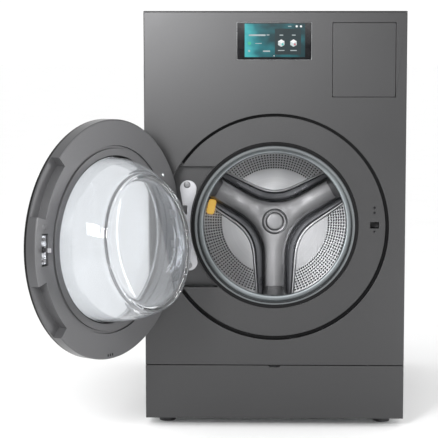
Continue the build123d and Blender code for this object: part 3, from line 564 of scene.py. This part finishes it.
def screw_heads(node, out_at, name):
    """Domed heads with a cross recess, one for each CAD screw; out_at gives the way it faces."""
    joined = bmesh.new()
    for low, high in islands(node):
        out = out_at(low)
        size = high - low
        depth = min(size)
        radius = max(size) / 2
        turn = place((low + high) / 2 - out * depth / 2, out.orthogonal(), out)
        head = bmesh.new()
        rings = []
        for share, rise, cross in HEAD_RINGS:
            ring = []
            for k in range(HEAD_TURNS):
                reach = radius / MM * (CROSS_SHARE if cross and k % 6 in (2, 3, 4) else share)
                spot = around(reach, k, HEAD_TURNS, depth / MM * rise)
                ring.append(head.verts.new(turn @ spot))
            rings.append(ring)
        span(head, rings, HEAD_TURNS, closed=False)
        head.faces.new(rings[-1])
        head.faces.new(rings[0])
        bmesh.ops.recalc_face_normals(head, faces=head.faces)
        join(joined, head, "head")
    piece(name, finish_mesh(joined, name, 45), look(node), node)


screw_heads("cabinet_screws", lambda low: Vector((0, 1 if low.y > 0 else -1, 0)), "screw_heads")
screw_heads("latch_screws", lambda low: DOOR_IN, "latch_screw_heads")


# ------------------------------------------------------------------ small fittings
LOCK_X, LOCK_FLOOR = 263.0, -16.6
INNER_FACE = 24  # the door's inner face, behind the plane its frame starts from
STUD_TURNS, STUD_SUNK = 40, 2
VENT_LOW, VENT_HIGH, VENT_WIDE = -290.5, -284, 4
VENT_FACE, VENT_ROOT = -24.25, -23.2


def stud(name, frame_at, spot, radius, rise, body, slot):
    """A small round-headed stud or plug standing on a face."""
    outline = soften([
        (0, rise, 0), (radius * 0.62, rise, 1), (radius, rise * 0.35, 1), (radius, -STUD_SUNK, 0),
        (0, -STUD_SUNK, 0),
    ], steps=4, closed=False)
    mesh = lathe(frame_at @ Matrix.Translation(spot), outline, name, STUD_TURNS, closed=False)
    piece(name, mesh, LOOKS[slot], body=body, slot=slot)


# black plugs in the holes over and under the lock's slot, as painted shade of the holes: height
# from the door's centre, and radius
for index, (up, radius) in enumerate(((52.0, 4.5), (38.5, 4.1), (-11.5, 3.5))):
    spot = (LOCK_X, up, LOCK_FLOOR)
    stud("lock_hole_shade_%d" % index, FACE, spot, radius, 1.2, "cabinet", "seal_black")
stud("door_stop_stud", DOOR_INSIDE, (213, 146, INNER_FACE), 5, 5, "door", "bright_steel")
stud("door_bumper", DOOR_INSIDE, (-262, 56, INNER_FACE), 7, 1.5, "door", "door_grey")
# painted shade: three black patches on the door's inner face stand for small drain slots, their
# black the shade inside the openings
for index, x in enumerate((4.0, 13.0, 22.0)):
    outline = soften([
        (x, VENT_LOW, 1), (x + VENT_WIDE, VENT_LOW, 1), (x + VENT_WIDE, VENT_HIGH, 1),
        (x, VENT_HIGH, 1),
    ])
    vent = slab(DOOR, outline, VENT_FACE, VENT_ROOT)
    piece("door_vent_%d" % index, finish_mesh(vent, "vent"), LOOKS["seal_black"], body="door",
          slot="seal_black")

# ------------------------------------------------------------------ drum
BACK_Z = -700.0
DOME = 3.0
HOLE_PITCH, HOLE_COUNT, HOLE_FROM, HOLE_R = 7.6, 8, 162.0, 2.3
BACK_COLUMNS = 140
WALL_R, WALL_FROM, WALL_PITCH, WALL_ROWS, WALL_COLUMNS = 283.0, -150.0, 11.4, 48, 150
LIFTER_SHIFT, LIFTER_CELLS = 6, 12  # columns from a lifter's start to the first, and under it
SHEET = 1.2

# dark space behind the holes
shade = [(160, BACK_Z - 8), (284, BACK_Z - 8), (284, BACK_Z - 9), (160, BACK_Z - 9)]
added("drum_back_shade", lathe(DRUM, shade, "shade", 96), "gasket_trim_ring", "drum")


def back_wall(u, v):
    """The back's surface: a shallow dome inside the pierced band and a flat rim outside it."""
    dome = DOME * max(0.0, 1 - (v / HOLE_FROM) ** 2)
    return DRUM @ Vector((v * cos(u), v * sin(u), BACK_Z + dome))


hole_rows = [HOLE_FROM + HOLE_PITCH * k for k in range(HOLE_COUNT + 1)]
levels = [18, 60, 100, 130, 148, 158] + hole_rows + [230, 238, 250, 270, 282.6]
pierced_from = levels.index(HOLE_FROM)
sheet = perforated(back_wall, lambda v: v, BACK_COLUMNS, levels,
                   lambda c, r: pierced_from <= r < pierced_from + HOLE_COUNT, HOLE_R)
thicken(piece("drum_back_sheet", finish_mesh(sheet, "back"), look("drum_back"), "drum_back"), SHEET)


def shell_wall(u, v):
    """The drum's round wall."""
    return DRUM @ Vector((WALL_R * cos(u), WALL_R * sin(u), v))


def in_wall_pattern(c, r):
    """Every other cell, clear of the wall's two ends and of the three lifters."""
    off_lifter = (c + LIFTER_SHIFT) % (WALL_COLUMNS // 3) > LIFTER_CELLS
    return off_lifter and 0 < r < WALL_ROWS - 1 and (c + r) % 2


levels = [WALL_FROM - WALL_PITCH * k for k in range(WALL_ROWS + 1)]
sheet = perforated(shell_wall, lambda v: WALL_R, WALL_COLUMNS, levels, in_wall_pattern, HOLE_R)
thicken(added("drum_wall_sheet", finish_mesh(sheet, "wall"), "drum_shell", "drum"), SHEET)
ring_look = turned("drum_ring_satin", (0.25, 0.272, 0.282), 0.5, DRUM, 0.04)
front_lip = soften([
    (193, -136, 2), (193, -127.5, 3), (197, -125, 3), (206, -125.5, 3), (212, -128, 4),
    (262, -134.5, 12), (284.6, -143, 12), (285, -151, 1), (283, -151, 1), (281, -144, 10),
    (261, -136.5, 12), (212, -130.5, 4), (205, -128, 3), (198, -127.5, 3), (195.5, -130, 2),
    (195.5, -136, 1),
], steps=4)
piece("drum_front_ring", lathe(DRUM, front_lip, "ring"), ring_look, "drum_shell")

# the three-armed cover: between two arms the outline runs down one, round a corner, up the other
ARM_TURN = radians(30)
ARM_HALF, CORNER_R, ARM_REACH = 34.0, 150.0, 262.0
CORNER_AT = (ARM_HALF + CORNER_R) / sin(pi / 3)
TANGENT = CORNER_AT / 2
ARM_STEPS, CORNER_STEPS = 22, 26
ROOT_TO, TIP_AFTER = 110, 140  # a row keeps its root's offset this far, has its tip's this later
COVER_TOP = 20.0


def arm_contour(offset):
    """One valley's outline at an offset from the arms' sides, in axes that bisect the valley."""
    side = ARM_HALF + offset
    straight = []
    for k in range(ARM_STEPS):
        s = ARM_REACH + (TANGENT - ARM_REACH) * k / ARM_STEPS
        straight.append((
            s * cos(pi / 3) + side * sin(pi / 3), -(s * sin(pi / 3) - side * cos(pi / 3))
        ))
    corner = []
    for k in range(CORNER_STEPS + 1):
        turn = pi + pi / 6 - (pi / 3) * k / CORNER_STEPS
        radius = CORNER_R - offset
        corner.append((CORNER_AT + radius * cos(turn), radius * sin(turn)))
    return straight + corner + [(x, -y) for x, y in reversed(straight)]


def valley_sheet(rows):
    """Parallel contours round three valleys; rows are (offset at the root, at the tip, height)."""
    work = bmesh.new()
    for valley in range(3):
        turn = Matrix.Rotation(ARM_TURN + pi / 3 + valley * 2 * pi / 3, 4, "Z")
        lines = []
        for root, tip, height in rows:
            line = []
            for (xa, ya), (xb, yb) in zip(arm_contour(root), arm_contour(tip)):
                away = sqrt(xa * xa + ya * ya)
                share = min(1.0, max(0.0, (away - ROOT_TO) / TIP_AFTER))
                p = Vector((xa + (xb - xa) * share, ya + (yb - ya) * share, BACK_Z + height))
                line.append(work.verts.new(DRUM @ (turn @ p)))
            lines.append(line)
        for a, b in zip(lines, lines[1:]):
            for k in range(len(a) - 1):
                work.faces.new([a[k], a[k + 1], b[k + 1], b[k]])
    bmesh.ops.remove_doubles(work, verts=work.verts, dist=1e-5)
    return work


cover = valley_sheet([(offset, offset, height) for offset, height in (
    (-34, COVER_TOP), (-30, 19.9), (-24, 19.5), (-17, 18.8), (-11, 17.9), (-7, 17.0), (-4, 15.8),
    (-2, 14.2), (-0.8, 12.2), (0, 9.5), (0, 4.5),
)])
# the gap left round the hub is closed by a fan of triangles
centre = cover.verts.new(DRUM @ Vector((0, 0, BACK_Z + COVER_TOP)))
to_drum = DRUM.inverted()
for e in [e for e in cover.edges if e.is_boundary]:
    ends = [to_drum @ v.co for v in e.verts]
    if all(p.z > BACK_Z + COVER_TOP - 0.05 and p.to_2d().length < TANGENT + 0.5 for p in ends):
        cover.faces.new([e.verts[0], e.verts[1], centre])
cover_mesh = finish_mesh(cover, "cover", 50)
thicken(piece("arm_cover_skin", cover_mesh, look("drum_arm_cover"), "drum_arm_cover"), 1.5)
channel_rows = [
    (0.2, 0.2, 9.0), (1.5, 1.2, 6.4), (5, 3.5, 5.0), (12, 8, 4.4), (20, 12, 4.6), (26, 16, 5.2),
]
rim_rows = [
    (26, 16, 5.2), (29, 17.6, 5.9), (31.5, 19, 5.9), (33.5, 20.5, 4.8), (34.5, 21.5, 2.4),
    (35, 22, -0.2),
]
channel_look = brushed("channel_shade", (0.11, 0.112, 0.12), (1, 1, 1), 0.3, 0.95, 0.04, 0.01)
channel = piece("arm_channels", finish_mesh(valley_sheet(channel_rows), "channel", 60),
                channel_look, body="drum", slot=slot_of["drum_arm_cover"])
channel_rim = added("arm_channel_rims", finish_mesh(valley_sheet(rim_rows), "rim", 60), "drum_back",
                    "drum")
thicken(channel, 1.0)
thicken(channel_rim, 1.0)

HUB = DRUM @ Matrix.Translation((0, 0, BACK_Z))
hub_ring = soften([
    (30, 20.4, 0.5), (30, 22.6, 1.2), (33, 22.9, 1.5), (39.5, 19.9, 3), (40.5, 17, 0.5),
    (30, 17, 0.5),
], steps=4)
added("hub_ring", lathe(HUB, hub_ring, "hub"), "hub_cap", "drum")
cap = [
    (0, 24.2), (12, 24.15), (20, 24.0), (24.5, 23.7), (27, 22.8), (28.2, 20.8), (28.6, 18),
    (28.6, 8), (0, 8),
]
piece("hub_cap_dome", lathe(HUB, cap, "cap", closed=False, sharp=40), look("hub_cap"), "hub_cap")

# ------------------------------------------------------------------ gasket
lip = soften([
    (214.5, -24, 1), (214.5, -19.5, 2.5), (212, -17.6, 2), (209.5, -17.4, 2), (205.2, -20.5, 3),
    (205.2, -27, 2), (207.5, -33, 3), (206.2, -39.5, 3), (213, -43.5, 4), (216, -50, 5),
    (219, -66, 8), (227, -82, 8), (222, -98, 8), (226, -103.5, 2), (230, -103.5, 1),
    (231.5, -96, 3), (233, -82, 8), (223, -64, 8), (220, -52, 5), (219.7, -40, 2),
    (212, -36.5, 2), (212.5, -30, 2), (214.5, -28, 1),
], steps=4)
# the lip is centred on the tub's mouth at its root and leans down to the door's centre in front
LIP_SLOPE, LIP_DROP = -0.0465, -4.79
LEAN = Matrix(((1, 0, 0, 0), (0, 1, LIP_SLOPE, LIP_DROP), (0, 0, 1, 0), (0, 0, 0, 1)))
LIP_AXIS = MOUTH @ LEAN
# the bellows, turned about the leaning axis, passes from the cabinet to the tub
bellows_mesh = lathe(LIP_AXIS, lip, "gasket")
bellows = piece("gasket_bellows", bellows_mesh, look("door_gasket"), "door_gasket", blended=True)
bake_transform(bellows)

# a black strip in the recess's groove as painted shade of the groove, from one side of the hinge
# round to the other
GROOVE_SHADE_START, GROOVE_SHADE_STEP, GROOVE_SHADE_COUNT = -145, 2.5, 117
GROOVE_SHADE_SECTION = ((292.6, -21.6), (299.4, -21.6), (299.4, -19.5), (292.6, -19.5))
strip = bmesh.new()
bands = []
for k in range(GROOVE_SHADE_COUNT):
    turn = radians(GROOVE_SHADE_START + GROOVE_SHADE_STEP * k)
    bands.append([strip.verts.new(FACE @ Vector((r * cos(turn), r * sin(turn), z)))
                  for r, z in GROOVE_SHADE_SECTION])
for a, b in zip(bands, bands[1:]):
    for k in range(4):
        strip.faces.new([a[k - 1], a[k], b[k], b[k - 1]])
strip.faces.new(bands[0])
strip.faces.new(bands[-1])
added("recess_groove_shade", finish_mesh(strip, "seal"), "gasket_trim_ring", "cabinet")
# a black ring round the gasket's mouth: partly its dark rubber trim, partly painted shade of the
# gap by the panel
black_rim = soften([(215, -14.4, 1), (220.6, -14.4, 1), (220.6, -27, 1), (215, -27, 1)])
added("gasket_rim_and_shade", lathe(MOUTH, black_rim, "rim"), "gasket_trim_ring", "cabinet")
# painted shade: a thin black ring in the gasket lip's crease stands for the dark gap before the
# drum's ring
lip_line = soften([
    (206.4, -28.5), (205.1, -29.5), (204.9, -32), (205.8, -33.5), (207.6, -32),
], 0.6)
added("gasket_lip_line", lathe(LIP_AXIS, lip_line, "line"), "gasket_trim_ring", "cabinet")

# ------------------------------------------------------------------ door bowl
BOWL_LEAN = radians(8)
# radius, height, and the share of the lean that a ring takes: the bowl's end is cut at a slant
BOWL_OUTSIDE = [
    (222, -10, 0), (208, -10.2, 0), (205.6, -11.5, 0), (204.9, -16, 0.02), (204.2, -28, 0.08),
    (202.8, -44, 0.2), (200, -62, 0.34), (195.6, -80, 0.5), (189.6, -98, 0.68), (183, -113, 0.83),
    (178.4, -122, 0.93), (176.4, -125.2, 0.96), (173.6, -126.4, 0.98), (171.8, -128.2, 0.99),
    (171.2, -133.6, 1), (170.2, -137.4, 1), (167.6, -139.7, 1), (164.4, -139.7, 1),
    (161.8, -138.2, 1), (159.2, -137, 1), (150, -137.4, 1), (110, -138.6, 1), (60, -139.6, 1),
    (20, -140, 1), (0, -140, 1),
]
BOWL_INSIDE = [
    (0, -135, 1), (20, -135, 1), (60, -134.6, 1), (110, -133.6, 1), (147, -132.4, 1),
    (156, -131, 1), (162, -128.4, 1), (166.2, -124.2, 0.97), (170.4, -118, 0.93),
    (177, -108, 0.82), (184, -94.5, 0.66), (190.4, -77.6, 0.49), (195, -60.5, 0.33),
    (198, -43, 0.19), (199.6, -27, 0.08), (200.2, -16, 0.02), (201.5, -8.5, 0), (204, -6.2, 0),
    (222, -6, 0),
]
bowl = bmesh.new()
rings = []
for r, z, lean in BOWL_OUTSIDE + BOWL_INSIDE:
    tip = Matrix.Rotation(BOWL_LEAN * lean, 4, "X")
    spots = []
    for k in range(TURNS if r else 1):
        p = tip @ around(r, k, TURNS, 0)
        spots.append(bowl.verts.new(DOOR @ Vector((p.x, p.y, p.z + z))))
    rings.append(spots)
span(bowl, rings, TURNS)
piece("glass_bowl", finish_mesh(bowl, "bowl", 60), look("door_bowl"), "door_bowl")
pane = soften([(0.0, 9.2, 0), (238, 9.2, 1), (241.5, 10, 1), (241.5, 13, 1.5), (0, 13.5, 0)],
              closed=False)
piece("window_pane", lathe(DOOR, pane, "pane", closed=False), look("door_window"), "door_window")

# ------------------------------------------------------------------ display picture
screen_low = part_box("display_glass")[0]
GLASS_CLEAR = 0.00005  # the picture's layers start this far in front of the glass, in metres
SCREEN = place((screen_low.x, screen_low.y - GLASS_CLEAR, screen_low.z), (1, 0, 0), (0, -1, 0))
# each layer's height over the glass and its thickness, in millimetres
PICTURE, CARD, MARKS, DETAILS, LAYER = 0.0, 0.07, 0.14, 0.21, 0.06


def glowing(name, color, strength=1.0):
    """A lit part of the display, slightly uneven."""
    made = Surface(name, color, 0.0, 0.25, Specular_IOR_Level=0.1)
    made.mix(made.spread(made.noise(40, 2.0), 0.0, 1.0), [c * 0.86 for c in color],
             [min(1, c * 1.08) for c in color])
    made.tree.links.new(made.tint, made.shader.inputs["Emission Color"])
    made.tree.links.remove(made.shader.inputs["Base Color"].links[0])
    made.shader.inputs["Base Color"].default_value = (0.01, 0.01, 0.01, 1)
    made.shader.inputs["Emission Strength"].default_value = strength
    return made.made


def bar(x, y, wide, tall, corner=None):
    """The outline of a bar with round corners."""
    corner = min(tall, wide) / 2 if corner is None else corner
    left, right, low, high = x + corner, x + wide - corner, y + corner, y + tall - corner
    spots = []
    for cx, cy, start in ((right, high, 0), (left, high, 90), (left, low, 180), (right, low, 270)):
        for k in range(7):
            turn = radians(start + 15 * k)
            spots.append((cx + corner * cos(turn), cy + corner * sin(turn)))
    return spots


def dot(x, y, r, sides=28, turn=0.0):
    """The outline of a dot, or of a regular shape with few sides."""
    angles = [turn + 2 * pi * k / sides for k in range(sides)]
    return [(x + r * cos(angle), y + r * sin(angle)) for angle in angles]


def show(name, material, outlines, height):
    """One piece of the picture: flat shapes from their outlines in display millimetres."""
    joined = bmesh.new()
    for points in outlines:
        join(joined, slab(SCREEN, points, height, height + LAYER), "part")
    piece(name, finish_mesh(joined, name), material, body="cabinet", slot="black_glass")


scene_look = Surface("display_scene", (0.005, 0.01, 0.01), 0.0, 0.2, Specular_IOR_Level=0.1)
spot = scene_look.node(
    "ShaderNodeMapping",
    {"Vector": scene_look.at, "Location": (-screen_low.x, 0, -screen_low.z)},
)
axes = scene_look.node("ShaderNodeSeparateXYZ", {"Vector": spot.outputs[0]})
across = scene_look.node(
    "ShaderNodeMapRange", {"Value": axes.outputs["X"], "From Min": 0.02, "From Max": 0.11}
)
flow = scene_look.noise(16, 2.0, (1, 1, 1.6))
shift = scene_look.node(
    "ShaderNodeMath", {0: across.outputs[0], 1: scene_look.spread(flow, -0.35, 0.35)},
    operation="ADD",
)
ramp = scene_look.node("ShaderNodeValToRGB", {"Fac": shift.outputs[0]})
ramp.color_ramp.elements[0].color = (0.06, 0.47, 0.50, 1)
ramp.color_ramp.elements[1].color = (0.006, 0.035, 0.045, 1)
ramp.color_ramp.elements.new(0.45).color = (0.012, 0.17, 0.2, 1)
scene_look.tree.links.new(ramp.outputs[0], scene_look.shader.inputs["Emission Color"])
scene_look.shader.inputs["Emission Strength"].default_value = 0.95
show("display_scene", scene_look.made, [bar(19.5, 6.5, 157, 86.5, 0.8)], PICTURE)
card_look = glowing("display_card", (0.012, 0.035, 0.042), 0.8)
show("display_card", card_look, [bar(98, 13, 68, 67, 3)], CARD)
show("display_marks", glowing("display_pale", (0.62, 0.72, 0.74), 0.7), [
    bar(30, 61, 44, 4.2), bar(76, 62.5, 8, 2.4), bar(67, 20, 19, 3.6), dot(31, 22.5, 2.8),
    bar(47, 41, 17, 1.6), bar(110, 62, 10, 2.6), bar(142, 62, 10, 2.6), bar(106, 22.5, 17, 2.2),
    bar(138, 22.5, 17, 2.2), bar(132, 85, 9, 2),
], MARKS)
show("display_dots", glowing("display_white", (0.95, 0.95, 0.95)),
     [dot(154.5, 86, 2.9), dot(165.6, 86, 2.9), dot(96, 9.7, 1.2)], MARKS)
green_look = glowing("display_green", (0.06, 0.62, 0.34), 0.9)
show("display_green", green_look, [dot(31.8, 42, 4.2)], MARKS)


def cube_faces(x, y, r):
    """The outlines of a small cube's three faces."""
    rim = dot(x, y, r, 6, pi / 6)
    return [[rim[k], rim[k + 1], rim[(k + 2) % 6], (x, y)] for k in (0, 2, 4)]


for name, x, color in (("left", 114.6, (0.1, 0.6, 0.55)), ("right", 146.4, (0.62, 0.22, 0.25))):
    faces = cube_faces(x, 42.7, 9.6)
    for part, shade_color, strength, outlines, height in (
        ("top_", (0.95, 0.97, 0.97), 1.0, faces[:1], MARKS),
        ("side_", (0.7, 0.78, 0.79), 0.9, faces[1:], MARKS),
        ("mark_", color, 0.9, [dot(x + 3.6, 39.5, 3)], DETAILS),
    ):
        lit = glowing("cube_" + part + name, shade_color, strength)
        show("display_cube_" + part + name, lit, outlines, height)

# ------------------------------------------------------------------ stage, light and camera
FLOOR_TURNS = 64
floor_work = bmesh.new()
rings = [
    [floor_work.verts.new(around(r, k, FLOOR_TURNS, 0)) for k in range(FLOOR_TURNS)]
    for r in (0.5, 2.0, 6.0, 20.0, 60.0)
]
floor_work.faces.new(rings[0])
for a, b in zip(rings, rings[1:]):
    for k in range(FLOOR_TURNS):
        floor_work.faces.new([a[k - 1], a[k], b[k], b[k - 1]])
floor_mesh = bpy.data.meshes.new("floor")
bmesh.ops.recalc_face_normals(floor_work, faces=floor_work.faces)
floor_work.to_mesh(floor_mesh)
floor_work.free()
floor = bpy.data.objects.new("floor", floor_mesh)
bpy.context.scene.collection.objects.link(floor)
floor_look = Surface("floor", (0.92, 0.92, 0.92), 0.0, 0.7)
floor_look.tone(floor_look.noise(3, 2.0), 0.01)
floor_mesh.materials.append(floor_look.made)

world = bpy.data.worlds.new("studio")
bpy.context.scene.world = world
world.use_nodes = True
background = world.node_tree.nodes["Background"]
background.inputs["Color"].default_value = (1, 1, 1, 1)
background.inputs["Strength"].default_value = 1.08
bpy.context.scene.view_settings.view_transform = "Standard"


def turn_to(holder, at, aim):
    """Puts a lamp or camera at a point and turns it towards another."""
    holder.location = at
    holder.rotation_euler = (Vector(aim) - Vector(at)).to_track_quat("-Z", "Y").to_euler()


def lamp(name, at, aim, wide, tall, power):
    """A soft box that shines from one point towards another."""
    made = bpy.data.lights.new(name, "AREA")
    made.shape, made.size, made.size_y, made.energy = "RECTANGLE", wide, tall, power
    holder = bpy.data.objects.new(name, made)
    bpy.context.scene.collection.objects.link(holder)
    turn_to(holder, at, aim)


lamp("key", (-0.85, FRONT - 2.3, 1.45), (-0.3, FRONT, 1.0), 0.6, 0.6, 50)
lamp("low", (1.1, FRONT - 1.9, 0.1), (0.25, FRONT, 0.1), 0.4, 0.16, 5)
lamp("drum", (0, FRONT - 2.3, 1.16), (0, FRONT + 0.5, 0.65), 0.4, 0.2, 3.6)
for side in (-1, 1):
    lamp("edge", (side * 2.2, FRONT + 0.12, 0.8), (0, FRONT + 0.1, 0.7), 0.12, 1.5, 12)

LENS, SENSOR, SHIFT_X = 132.0, 36, -0.05
CAMERA_AWAY, CAMERA_UP = 4.2, 1.03
AIM = (-0.0892, FRONT, 0.5565)
camera = bpy.data.objects.new("camera", bpy.data.cameras.new("camera"))
bpy.context.scene.collection.objects.link(camera)
camera.data.lens, camera.data.sensor_width, camera.data.shift_x = LENS, SENSOR, SHIFT_X
turn_to(camera, (0, FRONT - CAMERA_AWAY, CAMERA_UP), AIM)
bpy.context.scene.camera = camera
